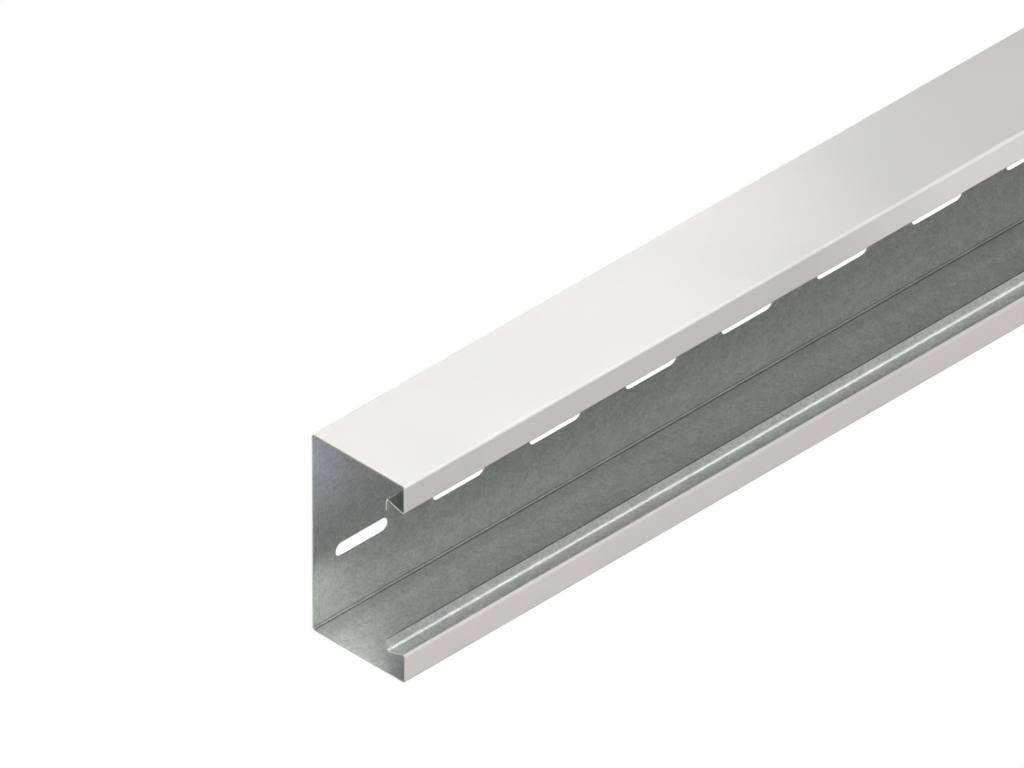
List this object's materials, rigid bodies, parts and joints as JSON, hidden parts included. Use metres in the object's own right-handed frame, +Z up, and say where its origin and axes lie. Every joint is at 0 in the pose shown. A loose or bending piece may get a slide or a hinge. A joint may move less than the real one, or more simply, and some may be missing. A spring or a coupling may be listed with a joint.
{
  "type": "cable trunking base",
  "caption": "Open-fronted steel wall trunking base with turned-in snap lips and a row of fixing slots along its back wall.",
  "frame": {"origin": "middle of the outside of the lower flange, at half the length and half the depth", "axes": "+X along the length, +Y from the open front to the slotted back wall, +Z up"},
  "size_m": [2, 0.0712, 0.13],
  "materials": {
    "coated_steel": "satin off-white powder coat outside, bare zinc-coated steel inside"
  },
  "bodies": {
    "root": {"trunking_base": "coated_steel"}
  },
  "joints": []
}
